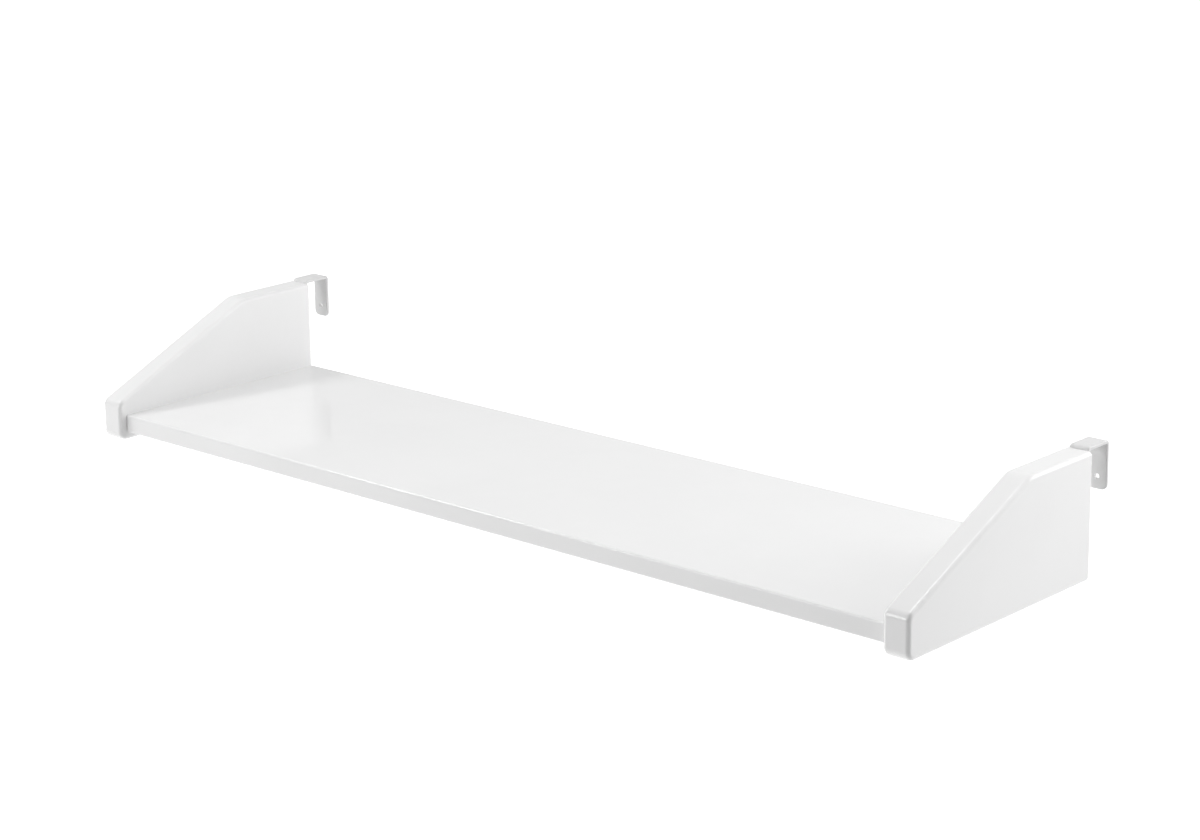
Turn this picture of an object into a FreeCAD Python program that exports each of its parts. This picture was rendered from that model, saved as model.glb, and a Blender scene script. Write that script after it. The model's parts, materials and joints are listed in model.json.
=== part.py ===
"""Hang-on shelf for a guard rail: two sloped side panels, a board between them and two steel hooks.

Millimetres. X runs along the shelf, Y runs back towards the rail and Z is up. The origin lies
midway between the two screw holes in the hooks' rear legs, on the face that touches the rail.
"""
import FreeCAD, Part
import math
import os

from FreeCAD import Vector

# Side panels: lacquered board with a low front, a sloped edge and a level top at the back
SHELF_LENGTH = 920.0
PANEL_DEPTH = 241.0
PANEL_HEIGHT = 106.0
PANEL_THICKNESS = 24.0
PANEL_FRONT_HEIGHT = 36.0
PANEL_TOP_LENGTH = 85.5
PANEL_EDGE_RADIUS = 3.5
FRONT_CORNER_RADIUS = 8.0
KNEE_RADIUS = 22.0
BACK_CORNER_RADIUS = 4.0

# Shelf board, butted between the panels
BOARD_THICKNESS = 16.5
BOARD_ABOVE_PANEL_FOOT = 7.0
BOARD_FRONT_SETBACK = 7.5
BOARD_EDGE_RADIUS = 2.0

# Rail hooks: one bent steel strip each, let into the back edge of its panel
HOOK_WIDTH = 18.0
HOOK_THICKNESS = 3.0
HOOK_INNER_BEND = 1.0
HOOK_EDGE_RADIUS = 0.9
HOOK_END_RADIUS = 5.0
HOOK_PROUD_OF_PANEL = 2.5
RAIL_GAP = 24.5
FRONT_LEG_LENGTH = 62.0
REAR_LEG_LENGTH = 41.5
RAIL_HOLE_ABOVE_END = 10.5
RAIL_HOLE_RADIUS = 2.25
GROOVE_SIDE_CLEARANCE = 0.2

# Countersunk screws that hold each hook to its panel
HOOK_SCREW_LENGTH = 25.0
HOOK_SCREW_RADIUS = 2.0
HOOK_SCREW_HEAD_RADIUS = 4.0
HOOK_SCREW_HOLE_RADIUS = 2.25
HOOK_SCREW_SINK = 0.2
HOOK_SCREW_TIP_LENGTH = 4.0
HOOK_SCREW_TIP_RADIUS = 0.3
HOOK_SCREW_PLAIN_LENGTH = 6.0
HOOK_SCREW_CROSS_LENGTH = 4.4
HOOK_SCREW_CROSS_WIDTH = 1.0
HOOK_SCREW_CROSS_DEPTH = 1.8
HOOK_SCREW_DROPS = {"upper": 21.0, "lower": 51.0}

# Cam fittings and dowels that join the board to the panels
FITTING_FROM_EDGE = 37.0
DOWEL_FROM_FITTING = 32.0
CAM_FROM_BOARD_END = 24.0
CAM_RADIUS = 7.44
CAM_HEIGHT = 12.3
CAM_BORE_RADIUS = 7.5
CAM_BORE_DEPTH = 12.6
CAM_POCKET_RADIUS = 4.1
CAM_ECCENTRICITY = 0.6
CAM_POCKET_HEIGHT = 7.1
CAM_SLOT_HEIGHT = 4.5
CAM_TURN_DEG = 180.0
CAM_CROSS_LENGTH = 7.0
CAM_CROSS_WIDTH = 1.4
CAM_CROSS_DEPTH = 2.4
CAM_ARROW_TIP = 6.6
CAM_ARROW_LENGTH = 2.0
CAM_ARROW_DEPTH = 0.5
BOLT_BALL_RADIUS = 3.4
BOLT_NECK_RADIUS = 2.0
BOLT_SHANK_RADIUS = 3.4
BOLT_SHANK_START = 8.5
BOLT_THREAD_LENGTH = 11.0
BOLT_THREAD_RADIUS = 2.5
BOLT_CHANNEL_RADIUS = 4.0
BOLT_TIP_RADIUS = 2.0
BOLT_CROSS_LENGTH = 3.4
BOLT_CROSS_WIDTH = 0.9
BOLT_CROSS_DEPTH = 1.6
DOWEL_RADIUS = 3.95
DOWEL_HOLE_RADIUS = 4.0
DOWEL_LENGTH = 30.0
DOWEL_IN_PANEL = 12.0
DOWEL_CHAMFER = 1.0
DOWEL_FLUTES = 12
DOWEL_FLUTE_RADIUS = 0.35

# Shared allowances
THREAD_PITCH = 1.8
THREAD_DEPTH = 0.5
THREAD_RISE = 0.5 * THREAD_PITCH
THREAD_CREST = 0.1 * THREAD_PITCH
HOLE_CLEARANCE = 0.05
HOLE_EXTRA_DEPTH = 0.6

# Places that follow from the sizes above
HOOK_TOP_Z = REAR_LEG_LENGTH - RAIL_HOLE_ABOVE_END
PANEL_TOP_Z = HOOK_TOP_Z - HOOK_PROUD_OF_PANEL
PANEL_FOOT_Z = PANEL_TOP_Z - PANEL_HEIGHT
PANEL_BACK_Y = -RAIL_GAP
PANEL_FRONT_Y = PANEL_BACK_Y - PANEL_DEPTH
PANEL_INNER_X = SHELF_LENGTH / 2 - PANEL_THICKNESS
HOOK_X = SHELF_LENGTH / 2 - PANEL_THICKNESS / 2
BOARD_FOOT_Z = PANEL_FOOT_Z + BOARD_ABOVE_PANEL_FOOT
BOARD_MIDDLE_Z = BOARD_FOOT_Z + BOARD_THICKNESS / 2
BOARD_FRONT_Y = PANEL_FRONT_Y + BOARD_FRONT_SETBACK
CAM_X = PANEL_INNER_X - CAM_FROM_BOARD_END
FITTING_YS = {
    "front": BOARD_FRONT_Y + FITTING_FROM_EDGE,
    "rear": PANEL_BACK_Y - FITTING_FROM_EDGE,
}
DOWEL_YS = {
    "front": FITTING_YS["front"] + DOWEL_FROM_FITTING,
    "rear": FITTING_YS["rear"] - DOWEL_FROM_FITTING,
}

ALONG_X = Vector(1, 0, 0)
ALONG_Y = Vector(0, 1, 0)
UP = Vector(0, 0, 1)


def rounded_outline(corners):
    """A closed wire through (point, radius) corners; a radius of 0 leaves the corner sharp."""
    starts, ends, edges = [], [], []
    count = len(corners)
    for index, (point, radius) in enumerate(corners):
        before = (corners[index - 1][0] - point).normalize()
        after = (corners[(index + 1) % count][0] - point).normalize()
        half_angle = before.getAngle(after) / 2
        trim = radius / math.tan(half_angle)
        starts.append(point + before * trim)
        ends.append(point + after * trim)
        if radius > 0:
            bisector = (before + after).normalize()
            middle = point + bisector * (radius / math.sin(half_angle) - radius)
            edges.append(Part.Arc(starts[-1], middle, ends[-1]).toShape())
    for index in range(count):
        edges.append(Part.makeLine(ends[index], starts[(index + 1) % count]))
    return Part.Wire(Part.__sortEdges__(edges))


def flat_edges(shape, axis, value):
    """The edges that lie wholly in the plane where the given coordinate has the given value."""
    tolerance = 1e-4
    found = []
    for edge in shape.Edges:
        low = getattr(edge.BoundBox, axis + "Min")
        high = getattr(edge.BoundBox, axis + "Max")
        if abs(low - value) < tolerance and abs(high - value) < tolerance:
            found.append(edge)
    return found


def rod(radius, start, direction, length):
    """A cylinder that runs from a point along a direction."""
    return Part.makeCylinder(radius, length, start, direction)


def block(low, high):
    """A box between two opposite corners."""
    size = high - low
    return Part.makeBox(size.x, size.y, size.z, low)


def aimed(shape, base, direction):
    """A shape made about the Z axis, moved to a base point and turned to face a direction."""
    shape.Placement = FreeCAD.Placement(base, FreeCAD.Rotation(UP, direction))
    return shape


def turned(profile, base, direction, nose=None):
    """A solid turned about an axis: profile lists (distance along the axis, radius).

    A nose is one more edge, in the XZ plane with Z along the axis, that leads up to the profile.
    """
    points = [Vector(radius, 0, along) for along, radius in profile]
    points.append(Vector(0, 0, profile[-1][0]))
    start = nose.Vertexes[0].Point if nose else points[0]
    points.append(Vector(0, 0, start.z))
    points.append(start)
    edges = Part.makePolygon(points).Edges
    if nose:
        edges.append(nose)
    wire = Part.Wire(Part.__sortEdges__(edges))
    solid = Part.Face(wire).revolve(Vector(0, 0, 0), UP, 360)
    return aimed(solid, base, direction)


def thread_rings(start, end, outer_radius):
    """Profile points of the saw-tooth rings that stand for a thread between two depths."""
    root_radius = outer_radius - THREAD_DEPTH
    turns = int((end - start) / THREAD_PITCH)
    profile = []
    for turn in range(turns):
        along = start + turn * THREAD_PITCH
        profile.append((along, root_radius))
        profile.append((along + THREAD_RISE, outer_radius))
        profile.append((along + THREAD_RISE + THREAD_CREST, outer_radius))
    profile.append((start + turns * THREAD_PITCH, root_radius))
    return profile


def cross_recess(length, width, depth, base, direction):
    """The cross-shaped cut for a driver, sunk from a base point along a direction."""
    long_bar = block(Vector(-length / 2, -width / 2, 0), Vector(length / 2, width / 2, depth))
    short_bar = block(Vector(-width / 2, -length / 2, 0), Vector(width / 2, length / 2, depth))
    return aimed(long_bar.fuse(short_bar), base, direction)


def panel_blank():
    """The sloped side panel with its rounded edges, inner face at x = 0, before any drilling."""
    front_top_z = PANEL_FOOT_Z + PANEL_FRONT_HEIGHT
    knee_y = PANEL_BACK_Y - PANEL_TOP_LENGTH
    corners = [
        (Vector(0, PANEL_FRONT_Y, PANEL_FOOT_Z), FRONT_CORNER_RADIUS),
        (Vector(0, PANEL_BACK_Y, PANEL_FOOT_Z), BACK_CORNER_RADIUS),
        (Vector(0, PANEL_BACK_Y, PANEL_TOP_Z), BACK_CORNER_RADIUS),
        (Vector(0, knee_y, PANEL_TOP_Z), KNEE_RADIUS),
        (Vector(0, PANEL_FRONT_Y, front_top_z), FRONT_CORNER_RADIUS),
    ]
    solid = Part.Face(rounded_outline(corners)).extrude(ALONG_X * PANEL_THICKNESS)
    rims = flat_edges(solid, "X", 0) + flat_edges(solid, "X", PANEL_THICKNESS)
    return solid.makeFillet(PANEL_EDGE_RADIUS, rims)


def leg_groove():
    """The recess for a hook's front leg, open at the panel's top and back."""
    half_width = HOOK_WIDTH / 2 + GROOVE_SIDE_CLEARANCE
    floor_y = PANEL_BACK_Y - HOOK_THICKNESS
    foot_z = HOOK_TOP_Z - FRONT_LEG_LENGTH - GROOVE_SIDE_CLEARANCE
    end_radius = HOOK_END_RADIUS + GROOVE_SIDE_CLEARANCE
    corners = [
        (Vector(HOOK_X - half_width, floor_y, foot_z), end_radius),
        (Vector(HOOK_X + half_width, floor_y, foot_z), end_radius),
        (Vector(HOOK_X + half_width, floor_y, HOOK_TOP_Z), 0),
        (Vector(HOOK_X - half_width, floor_y, HOOK_TOP_Z), 0),
    ]
    return Part.Face(rounded_outline(corners)).extrude(ALONG_Y * HOOK_THICKNESS * 2)


def side_panel():
    """The right side panel with its hook groove and the holes for screws, bolts and dowels."""
    panel = panel_blank()
    panel.translate(Vector(PANEL_INNER_X, 0, 0))
    cuts = [leg_groove()]
    for drop in HOOK_SCREW_DROPS.values():
        start = Vector(HOOK_X, PANEL_BACK_Y, HOOK_TOP_Z - drop)
        depth = HOOK_SCREW_LENGTH + HOOK_SCREW_SINK + HOLE_EXTRA_DEPTH
        cuts.append(rod(HOOK_SCREW_RADIUS + HOLE_CLEARANCE, start, -ALONG_Y, depth))
    for y in FITTING_YS.values():
        start = Vector(PANEL_INNER_X, y, BOARD_MIDDLE_Z)
        depth = BOLT_THREAD_LENGTH + HOLE_EXTRA_DEPTH
        cuts.append(rod(BOLT_THREAD_RADIUS + HOLE_CLEARANCE, start, ALONG_X, depth))
    for y in DOWEL_YS.values():
        start = Vector(PANEL_INNER_X, y, BOARD_MIDDLE_Z)
        depth = DOWEL_IN_PANEL + HOLE_EXTRA_DEPTH
        cuts.append(rod(DOWEL_HOLE_RADIUS, start, ALONG_X, depth))
    return panel.cut(cuts)


def shelf_board():
    """The board, long edges eased, with cam bores underneath and holes in its two ends."""
    low = Vector(-PANEL_INNER_X, BOARD_FRONT_Y, BOARD_FOOT_Z)
    high = Vector(PANEL_INNER_X, PANEL_BACK_Y, BOARD_FOOT_Z + BOARD_THICKNESS)
    board = block(low, high)
    long_edges = [edge for edge in board.Edges if edge.BoundBox.XLength > PANEL_INNER_X]
    board = board.makeFillet(BOARD_EDGE_RADIUS, long_edges)
    cuts = []
    for side in (-1, 1):
        inward = ALONG_X * -side
        for y in FITTING_YS.values():
            cam_foot = Vector(side * CAM_X, y, BOARD_FOOT_Z)
            board_end = Vector(side * PANEL_INNER_X, y, BOARD_MIDDLE_Z)
            cuts.append(rod(CAM_BORE_RADIUS, cam_foot, UP, CAM_BORE_DEPTH))
            cuts.append(rod(BOLT_CHANNEL_RADIUS, board_end, inward, CAM_FROM_BOARD_END))
        for y in DOWEL_YS.values():
            board_end = Vector(side * PANEL_INNER_X, y, BOARD_MIDDLE_Z)
            depth = DOWEL_LENGTH - DOWEL_IN_PANEL + HOLE_EXTRA_DEPTH
            cuts.append(rod(DOWEL_HOLE_RADIUS, board_end, inward, depth))
    return board.cut(cuts)


def hook_strip():
    """The bent strip before its holes: front leg, top plate and rear leg."""
    outer_bend = HOOK_INNER_BEND + HOOK_THICKNESS
    left_x = HOOK_X - HOOK_WIDTH / 2
    front_y = PANEL_BACK_Y - HOOK_THICKNESS
    plate_foot_z = HOOK_TOP_Z - HOOK_THICKNESS
    front_end_z = HOOK_TOP_Z - FRONT_LEG_LENGTH
    rear_end_z = HOOK_TOP_Z - REAR_LEG_LENGTH
    corners = [
        (Vector(left_x, front_y, front_end_z), 0),
        (Vector(left_x, front_y, HOOK_TOP_Z), outer_bend),
        (Vector(left_x, HOOK_THICKNESS, HOOK_TOP_Z), outer_bend),
        (Vector(left_x, HOOK_THICKNESS, rear_end_z), 0),
        (Vector(left_x, 0, rear_end_z), 0),
        (Vector(left_x, 0, plate_foot_z), HOOK_INNER_BEND),
        (Vector(left_x, PANEL_BACK_Y, plate_foot_z), HOOK_INNER_BEND),
        (Vector(left_x, PANEL_BACK_Y, front_end_z), 0),
    ]
    strip = Part.Face(rounded_outline(corners)).extrude(ALONG_X * HOOK_WIDTH)
    ends = flat_edges(strip, "Z", front_end_z) + flat_edges(strip, "Z", rear_end_z)
    leg_corners = [edge for edge in ends if edge.BoundBox.XLength < HOOK_THICKNESS]
    strip = strip.makeFillet(HOOK_END_RADIUS, leg_corners)
    rims = flat_edges(strip, "X", left_x) + flat_edges(strip, "X", left_x + HOOK_WIDTH)
    return strip.makeFillet(HOOK_EDGE_RADIUS, rims)


def rail_hook():
    """The right hook: a countersunk hole for each panel screw and a plain one for the rail."""
    hook = hook_strip()
    face_radius = HOOK_SCREW_HEAD_RADIUS + HOOK_SCREW_SINK
    sink_depth = face_radius - HOOK_SCREW_HOLE_RADIUS
    through = [(0, face_radius), (sink_depth, HOOK_SCREW_HOLE_RADIUS),
               (HOOK_THICKNESS * 2, HOOK_SCREW_HOLE_RADIUS)]
    cuts = []
    for drop in HOOK_SCREW_DROPS.values():
        cuts.append(turned(through, Vector(HOOK_X, PANEL_BACK_Y, HOOK_TOP_Z - drop), -ALONG_Y))
    rail_hole_start = Vector(HOOK_X, -HOOK_THICKNESS, 0)
    cuts.append(rod(RAIL_HOLE_RADIUS, rail_hole_start, ALONG_Y, HOOK_THICKNESS * 3))
    return hook.cut(cuts)


def hook_screw(drop):
    """A countersunk wood screw in the right hook, its head a given drop below the hook's top."""
    head_depth = HOOK_SCREW_HEAD_RADIUS - HOOK_SCREW_RADIUS
    thread_end = HOOK_SCREW_LENGTH - HOOK_SCREW_TIP_LENGTH
    profile = [(0, HOOK_SCREW_HEAD_RADIUS), (head_depth, HOOK_SCREW_RADIUS),
               (HOOK_SCREW_PLAIN_LENGTH - THREAD_DEPTH, HOOK_SCREW_RADIUS)]
    profile += thread_rings(HOOK_SCREW_PLAIN_LENGTH, thread_end, HOOK_SCREW_RADIUS)
    profile.append((HOOK_SCREW_LENGTH, HOOK_SCREW_TIP_RADIUS))
    head = Vector(HOOK_X, PANEL_BACK_Y - HOOK_SCREW_SINK, HOOK_TOP_Z - drop)
    recess = cross_recess(HOOK_SCREW_CROSS_LENGTH, HOOK_SCREW_CROSS_WIDTH,
                          HOOK_SCREW_CROSS_DEPTH, head, -ALONG_Y)
    return turned(profile, head, -ALONG_Y).cut(recess)


def cam_bolt(y):
    """A ball-headed bolt that screws into the right panel and reaches into the board's cam."""
    centre = Vector(CAM_X, y, BOARD_MIDDLE_Z)
    tip_drop = math.sqrt(BOLT_BALL_RADIUS ** 2 - BOLT_TIP_RADIUS ** 2)
    neck_rise = math.sqrt(BOLT_BALL_RADIUS ** 2 - BOLT_NECK_RADIUS ** 2)
    ball = Part.Arc(Vector(BOLT_TIP_RADIUS, 0, -tip_drop), Vector(BOLT_BALL_RADIUS, 0, 0),
                    Vector(BOLT_NECK_RADIUS, 0, neck_rise)).toShape()
    profile = [(neck_rise, BOLT_NECK_RADIUS), (BOLT_SHANK_START, BOLT_NECK_RADIUS),
               (BOLT_SHANK_START, BOLT_SHANK_RADIUS), (CAM_FROM_BOARD_END, BOLT_SHANK_RADIUS)]
    profile += thread_rings(CAM_FROM_BOARD_END, CAM_FROM_BOARD_END + BOLT_THREAD_LENGTH,
                            BOLT_THREAD_RADIUS)
    bolt = turned(profile, centre, ALONG_X, ball)
    tip = centre - ALONG_X * tip_drop
    recess = cross_recess(BOLT_CROSS_LENGTH, BOLT_CROSS_WIDTH, BOLT_CROSS_DEPTH, tip, ALONG_X)
    return bolt.cut(recess)


def cam_arrow():
    """The shallow triangle on a cam's foot that points at its open side, towards -X."""
    tip = Vector(-CAM_ARROW_TIP, 0, 0)
    half_width = CAM_ARROW_LENGTH / 2
    base_x = CAM_ARROW_LENGTH - CAM_ARROW_TIP
    corners = [tip, Vector(base_x, -half_width, 0), Vector(base_x, half_width, 0), tip]
    return Part.Face(Part.makePolygon(corners)).extrude(UP * CAM_ARROW_DEPTH)


def cam_lock(y):
    """The right cam in its locked position: its slot lets it turn round the bolt's neck."""
    bolt_height = BOARD_THICKNESS / 2
    slot_foot = bolt_height - CAM_SLOT_HEIGHT / 2
    reach = CAM_RADIUS * 2
    bolt_centre = Vector(0, 0, bolt_height)
    pocket_foot = Vector(-CAM_ECCENTRICITY, 0, bolt_height - CAM_POCKET_HEIGHT / 2)
    body = rod(CAM_RADIUS, Vector(0, 0, 0), UP, CAM_HEIGHT)
    pocket = rod(CAM_POCKET_RADIUS, pocket_foot, UP, CAM_POCKET_HEIGHT)
    slot = Part.makeCylinder(reach, CAM_SLOT_HEIGHT, Vector(0, 0, slot_foot), UP, CAM_TURN_DEG)
    slot_end = block(Vector(0, -CAM_SLOT_HEIGHT / 2, slot_foot),
                     Vector(reach, CAM_SLOT_HEIGHT / 2, slot_foot + CAM_SLOT_HEIGHT))
    window = rod(CAM_POCKET_HEIGHT / 2, bolt_centre, -ALONG_X, reach)
    cross = cross_recess(CAM_CROSS_LENGTH, CAM_CROSS_WIDTH, CAM_CROSS_DEPTH, Vector(0, 0, 0), UP)
    cam = body.cut([pocket, slot, slot_end, window, cross, cam_arrow()])
    cam.translate(Vector(CAM_X, y, BOARD_FOOT_Z))
    return cam


def dowel(y):
    """A fluted wooden dowel between the board and the right panel."""
    start = Vector(PANEL_INNER_X + DOWEL_IN_PANEL, y, BOARD_MIDDLE_Z)
    tip_radius = DOWEL_RADIUS - DOWEL_CHAMFER
    profile = [(0, tip_radius), (DOWEL_CHAMFER, DOWEL_RADIUS),
               (DOWEL_LENGTH - DOWEL_CHAMFER, DOWEL_RADIUS), (DOWEL_LENGTH, tip_radius)]
    flutes = []
    for index in range(DOWEL_FLUTES):
        angle = 2 * math.pi * index / DOWEL_FLUTES
        offset = Vector(0, math.cos(angle), math.sin(angle)) * DOWEL_RADIUS
        flutes.append(rod(DOWEL_FLUTE_RADIUS, start + offset, -ALONG_X, DOWEL_LENGTH))
    return turned(profile, start, -ALONG_X).cut(flutes)


def mirrored(shape):
    """The same piece on the left side."""
    return shape.mirror(Vector(0, 0, 0), ALONG_X)


def right_pieces():
    """Every piece of the right end, by name without its side."""
    pieces = {"side_panel": side_panel(), "rail_hook": rail_hook()}
    for place, drop in HOOK_SCREW_DROPS.items():
        pieces[place + "_hook_screw"] = hook_screw(drop)
    for place, y in FITTING_YS.items():
        pieces[place + "_cam_bolt"] = cam_bolt(y)
        pieces[place + "_cam_lock"] = cam_lock(y)
    for place, y in DOWEL_YS.items():
        pieces[place + "_dowel"] = dowel(y)
    return pieces


def main():
    """Writes one STEP file for each piece of the shelf."""
    os.makedirs("parts", exist_ok=True)
    nodes = {"shelf_board": shelf_board()}
    for name, shape in right_pieces().items():
        nodes["right_" + name] = shape
        nodes["left_" + name] = mirrored(shape)
    for name, shape in nodes.items():
        shape.exportStep(os.path.join("parts", name + ".step"))
        print(name, "solids", len(shape.Solids), "valid", shape.isValid(),
              "volume_mm3", round(shape.Volume, 1))


main()
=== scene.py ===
"""Looks for a white hang-on shelf: camera, studio light, and a procedural finish for each piece."""
import json
import math

import bpy
from mathutils import Matrix, Vector


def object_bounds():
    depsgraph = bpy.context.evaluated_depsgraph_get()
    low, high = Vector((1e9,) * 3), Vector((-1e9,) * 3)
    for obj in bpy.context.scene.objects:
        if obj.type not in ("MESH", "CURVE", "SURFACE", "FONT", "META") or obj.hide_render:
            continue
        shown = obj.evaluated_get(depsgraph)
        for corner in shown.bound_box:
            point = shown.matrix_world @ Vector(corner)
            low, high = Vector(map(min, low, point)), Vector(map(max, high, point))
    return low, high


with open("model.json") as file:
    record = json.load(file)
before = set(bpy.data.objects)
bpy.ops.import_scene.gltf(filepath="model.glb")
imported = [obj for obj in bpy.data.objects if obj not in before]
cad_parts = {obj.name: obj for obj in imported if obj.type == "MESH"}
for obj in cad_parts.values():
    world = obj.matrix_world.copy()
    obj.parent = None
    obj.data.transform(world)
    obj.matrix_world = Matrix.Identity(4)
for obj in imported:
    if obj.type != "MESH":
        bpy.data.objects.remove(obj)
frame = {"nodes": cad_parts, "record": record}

CAD_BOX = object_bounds()

# Camera: a short telephoto, to the right of the shelf's front and a little above it
CAMERA_PLACE = Vector((1.6352, -1.8981, 0.6831))
CAMERA_YAW = 0.7339
CAMERA_PITCH = 0.2383
CAMERA_ROLL = -0.012
SENSOR_WIDTH = 36.0
LENS = 87.70
CAMERA_SHIFT = -0.1

# Studio: bright floor and surround behind the shelf, dimmer on the viewing side, soft boxes around.
# Each glow runs from the dimmer side's strength to the bright side's. Each fade is where it starts
# and ends along BRIGHT_SIDE: in metres across the floor, and by direction in the surround.
BRIGHT_SIDE = Vector((-0.66, 0.75, 0.0))
FLOOR_DEPTH = 2.8
FLOOR_SIZE = 120.0
FLOOR_GREY = 0.5
FLOOR_GLOW = (0.38, 1.0)
FLOOR_FADE = (-3.2, 0.4)
SURROUND_GLOW = (0.13, 0.72)
SURROUND_FADE = (-0.5, 0.6)
LIGHTS = {
    # name: (direction from the shelf, distance, size, strength in watts)
    "top_box": ((0.15, 0.1, 1.0), 1.2, 0.6, 4.2),
    "front_box": ((-0.55, -1.0, 0.3), 2.4, 0.8, 12.0),
    "wide_front_box": ((-0.1, -1.0, 0.25), 2.8, 1.0, 10.0),
    "high_left_box": ((-0.85, -0.4, 0.8), 1.6, 0.4, 5.4),
    "high_right_box": ((0.68, 0.22, 0.68), 1.4, 0.45, 2.2),
    "right_box": ((1.0, 0.55, 0.35), 1.8, 1.1, 6.6),
    "right_back_box": ((0.8, 1.0, 0.4), 1.8, 1.2, 8.5),
}

WHITE_LACQUER = (0.86, 0.86, 0.86)
POWDER_COAT = (0.71, 0.71, 0.71)
ZINC_PLATE = (0.78, 0.78, 0.75)
NICKEL_PLATE = (0.72, 0.71, 0.68)
DIE_CAST_ZINC = (0.55, 0.56, 0.57)
BEECH_LIGHT = (0.78, 0.60, 0.41)
BEECH_DARK = (0.60, 0.42, 0.26)

# The middle part of a noise pattern, where most of its values lie
NOISE_LOW = 0.3
NOISE_HIGH = 0.7

# Places of the Mix node's colour sockets, whose names its other sockets share
MIX_FIRST = 6
MIX_SECOND = 7
MIX_RESULT = 2


class Finish:
    """A Principled material that is built up node by node in object coordinates."""

    def __init__(self, name, roughness=0.4, metallic=0.0, coat=0.0, coat_roughness=0.1):
        self.material = bpy.data.materials.new(name)
        self.material.use_nodes = True
        self.tree = self.material.node_tree
        self.shader = self.tree.nodes["Principled BSDF"]
        self.shader.inputs["Metallic"].default_value = metallic
        self.shader.inputs["Roughness"].default_value = roughness
        self.shader.inputs["Coat Weight"].default_value = coat
        self.shader.inputs["Coat Roughness"].default_value = coat_roughness
        self.place = self.node("ShaderNodeTexCoord").outputs["Object"]

    def node(self, kind, **settings):
        """A new shader node with its settings made."""
        made = self.tree.nodes.new(kind)
        for key, value in settings.items():
            setattr(made, key, value)
        return made

    def link(self, source, target):
        self.tree.links.new(source, target)

    def stretched(self, scale):
        """Object coordinates, scaled by a different amount along each axis."""
        mapping = self.node("ShaderNodeMapping")
        mapping.inputs["Scale"].default_value = scale
        self.link(self.place, mapping.inputs["Vector"])
        return mapping.outputs["Vector"]

    def noise(self, scale, detail=3.0, stretch=None):
        """A noise pattern with a given number of features per metre."""
        made = self.node("ShaderNodeTexNoise")
        made.inputs["Scale"].default_value = scale
        made.inputs["Detail"].default_value = detail
        self.link(self.stretched(stretch) if stretch else self.place, made.inputs["Vector"])
        return made.outputs["Fac"]

    def ranged(self, pattern, low, high):
        """A pattern's middle part, stretched to run from low to high."""
        made = self.node("ShaderNodeMapRange")
        made.inputs["From Min"].default_value = NOISE_LOW
        made.inputs["From Max"].default_value = NOISE_HIGH
        made.inputs["To Min"].default_value = low
        made.inputs["To Max"].default_value = high
        self.link(pattern, made.inputs["Value"])
        return made.outputs["Result"]

    def two_tone(self, pattern, first, second):
        """The surface colour, running from one colour to another with a pattern."""
        mix = self.node("ShaderNodeMix", data_type="RGBA")
        mix.inputs[MIX_FIRST].default_value = (*first, 1.0)
        mix.inputs[MIX_SECOND].default_value = (*second, 1.0)
        self.link(self.ranged(pattern, 0.0, 1.0), mix.inputs["Factor"])
        self.link(mix.outputs[MIX_RESULT], self.shader.inputs["Base Color"])

    def rough(self, pattern, low, high):
        """A roughness that runs from low to high with a pattern."""
        self.link(self.ranged(pattern, low, high), self.shader.inputs["Roughness"])

    def bumps(self, layers):
        """Stacked bump layers: (pattern, strength, height in metres)."""
        normal = None
        for pattern, strength, height in layers:
            bump = self.node("ShaderNodeBump")
            bump.inputs["Strength"].default_value = strength
            bump.inputs["Distance"].default_value = height
            self.link(pattern, bump.inputs["Height"])
            if normal:
                self.link(normal, bump.inputs["Normal"])
            normal = bump.outputs["Normal"]
        self.link(normal, self.shader.inputs["Normal"])


def shaded(colour, amount):
    """A colour made lighter or darker by a share of itself."""
    return tuple(min(1.0, channel * (1.0 + amount)) for channel in colour)


def white_lacquer():
    """Sprayed lacquer on smooth board: a glossy coat over a satin base, with faint orange peel."""
    finish = Finish("white_lacquer", coat=0.8, coat_roughness=0.06)
    cloud = finish.noise(9.0)
    finish.two_tone(cloud, shaded(WHITE_LACQUER, -0.012), shaded(WHITE_LACQUER, 0.012))
    finish.rough(finish.noise(55.0, detail=5.0), 0.34, 0.46)
    peel = finish.noise(420.0, detail=2.0)
    board_wave = finish.noise(30.0, detail=1.0)
    finish.bumps([(board_wave, 0.15, 0.0004), (peel, 0.10, 0.0002)])
    return finish.material


def powder_coat():
    """Pale powder coat on steel: a fine pebbled skin."""
    finish = Finish("hook_powder_coat", coat=0.3, coat_roughness=0.2)
    finish.two_tone(finish.noise(160.0), shaded(POWDER_COAT, -0.02), shaded(POWDER_COAT, 0.02))
    finish.rough(finish.noise(900.0), 0.30, 0.44)
    finish.bumps([(finish.noise(1800.0, detail=2.0), 0.25, 0.0001)])
    return finish.material


def grained_metal(name, colour, low, high, grain):
    """Plated or cast metal with a fine grain that has no direction."""
    finish = Finish(name, metallic=1.0)
    finish.two_tone(finish.noise(grain / 4), shaded(colour, -0.08), shaded(colour, 0.05))
    finish.rough(finish.noise(grain), low, high)
    finish.bumps([(finish.noise(grain * 2, detail=4.0), 0.3, 0.00008)])
    return finish.material


def beech():
    """Turned beech: long grain along the dowel with short flecks that vary the roughness."""
    finish = Finish("beech")
    grain = finish.noise(1.0, detail=6.0, stretch=(60.0, 900.0, 900.0))
    finish.two_tone(grain, BEECH_DARK, BEECH_LIGHT)
    flecks = finish.noise(1.0, detail=2.0, stretch=(250.0, 2200.0, 2200.0))
    finish.rough(flecks, 0.5, 0.75)
    finish.bumps([(grain, 0.3, 0.0002)])
    return finish.material


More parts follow.
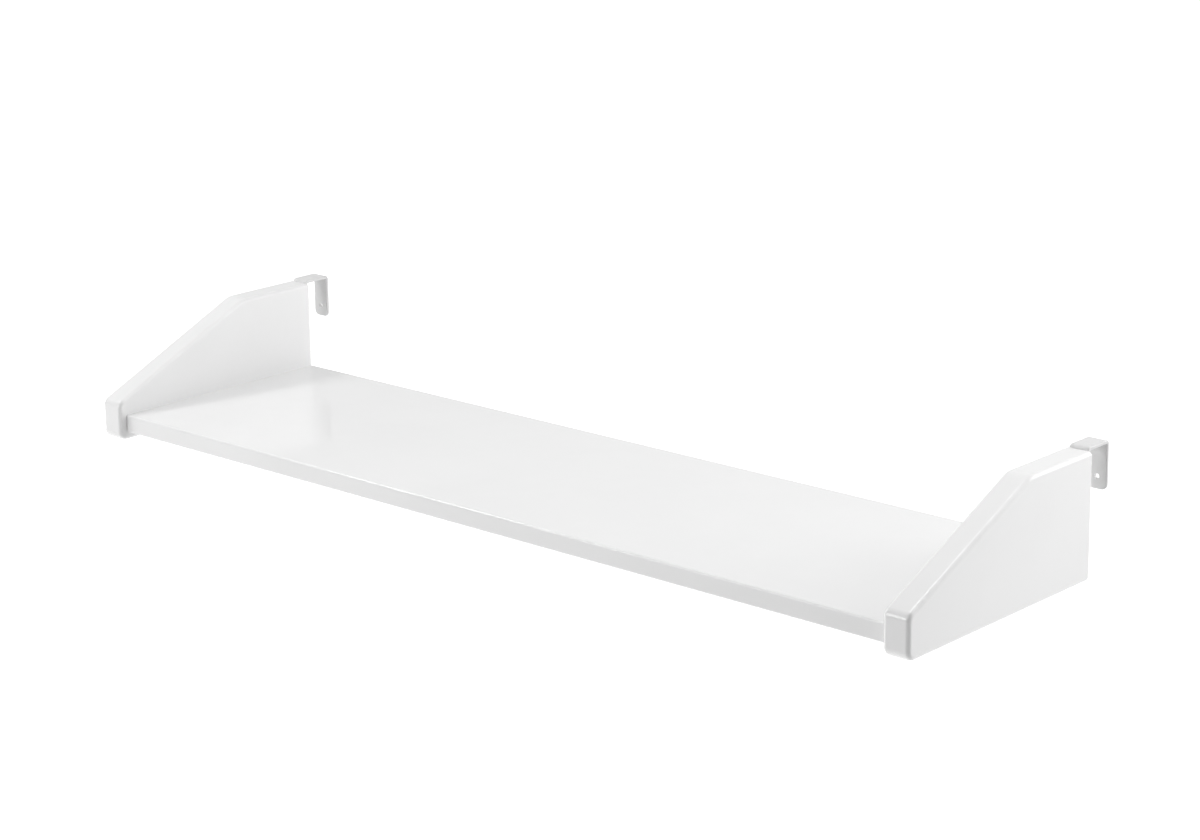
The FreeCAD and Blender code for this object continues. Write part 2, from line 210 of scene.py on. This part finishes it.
def dress_nodes():
    """Gives every CAD piece the finish of its material slot."""
    finishes = {
        "white_lacquer": white_lacquer(),
        "hook_powder_coat": powder_coat(),
        "zinc_screw": grained_metal("zinc_screw", ZINC_PLATE, 0.18, 0.34, 900.0),
        "plated_bolt": grained_metal("plated_bolt", NICKEL_PLATE, 0.2, 0.36, 700.0),
        "cam_zinc_alloy": grained_metal("cam_zinc_alloy", DIE_CAST_ZINC, 0.35, 0.55, 500.0),
        "beech": beech(),
    }
    for part in frame["record"]["subparts"]:
        piece = frame["nodes"][part["node"]]
        piece.data.materials.clear()
        piece.data.materials.append(finishes[part["material_slot"]])


def towards_bright_side(tree, fade, glow):
    """A strength that rises from the viewing side of the studio to the side behind the shelf."""
    place = tree.nodes.new("ShaderNodeTexCoord")
    along = tree.nodes.new("ShaderNodeVectorMath")
    along.operation = "DOT_PRODUCT"
    along.inputs[1].default_value = BRIGHT_SIDE
    ramp = tree.nodes.new("ShaderNodeMapRange")
    ramp.interpolation_type = "SMOOTHSTEP"
    ramp.inputs["From Min"].default_value, ramp.inputs["From Max"].default_value = fade
    ramp.inputs["To Min"].default_value, ramp.inputs["To Max"].default_value = glow
    tree.links.new(place.outputs["Object"], along.inputs[0])
    tree.links.new(along.outputs["Value"], ramp.inputs["Value"])
    return ramp.outputs["Result"]


def floor():
    """A plain floor far below the hanging shelf, which glows brighter towards the bright side."""
    shelf_foot = CAD_BOX[0][2]
    bpy.ops.mesh.primitive_plane_add(size=FLOOR_SIZE, location=(0, 0, shelf_foot - FLOOR_DEPTH))
    plane = bpy.context.object
    plane.name = "studio_floor"
    finish = Finish("studio_floor", roughness=0.9)
    finish.shader.inputs["Base Color"].default_value = (FLOOR_GREY, FLOOR_GREY, FLOOR_GREY, 1.0)
    finish.shader.inputs["Emission Color"].default_value = (1.0, 1.0, 1.0, 1.0)
    glow = towards_bright_side(finish.tree, FLOOR_FADE, FLOOR_GLOW)
    finish.link(glow, finish.shader.inputs["Emission Strength"])
    plane.data.materials.append(finish.material)


def soft_box(name, direction, distance, size, strength):
    """A square area light that faces the middle of the shelf."""
    data = bpy.data.lights.new(name, "AREA")
    data.shape = "SQUARE"
    data.size = size
    data.energy = strength
    light = bpy.data.objects.new(name, data)
    away = Vector(direction).normalized()
    low, high = (Vector(corner) for corner in CAD_BOX)
    light.location = (low + high) / 2 + away * distance
    light.rotation_euler = away.to_track_quat("Z", "Y").to_euler()
    bpy.context.scene.collection.objects.link(light)


def studio():
    """The floor, the surround that brightens with it, and the soft boxes."""
    floor()
    world = bpy.data.worlds.new("studio_surround")
    bpy.context.scene.world = world
    world.use_nodes = True
    background = world.node_tree.nodes["Background"]
    background.inputs["Color"].default_value = (1.0, 1.0, 1.0, 1.0)
    glow = towards_bright_side(world.node_tree, SURROUND_FADE, SURROUND_GLOW)
    world.node_tree.links.new(glow, background.inputs["Strength"])
    for name, (direction, distance, size, strength) in LIGHTS.items():
        soft_box(name, direction, distance, size, strength)
    bpy.context.scene.view_settings.view_transform = "Standard"


def camera():
    """The camera, turned by yaw about Z, then tipped down and rolled."""
    data = bpy.data.cameras.new("camera")
    data.sensor_width = SENSOR_WIDTH
    data.lens = LENS
    data.shift_y = CAMERA_SHIFT
    view = bpy.data.objects.new("camera", data)
    turn = Matrix.Rotation(CAMERA_YAW, 4, "Z")
    tip = Matrix.Rotation(math.pi / 2 - CAMERA_PITCH, 4, "X")
    roll = Matrix.Rotation(CAMERA_ROLL, 4, "Z")
    view.matrix_world = Matrix.Translation(CAMERA_PLACE) @ turn @ tip @ roll
    bpy.context.scene.collection.objects.link(view)
    bpy.context.scene.camera = view


camera()
studio()
dress_nodes()
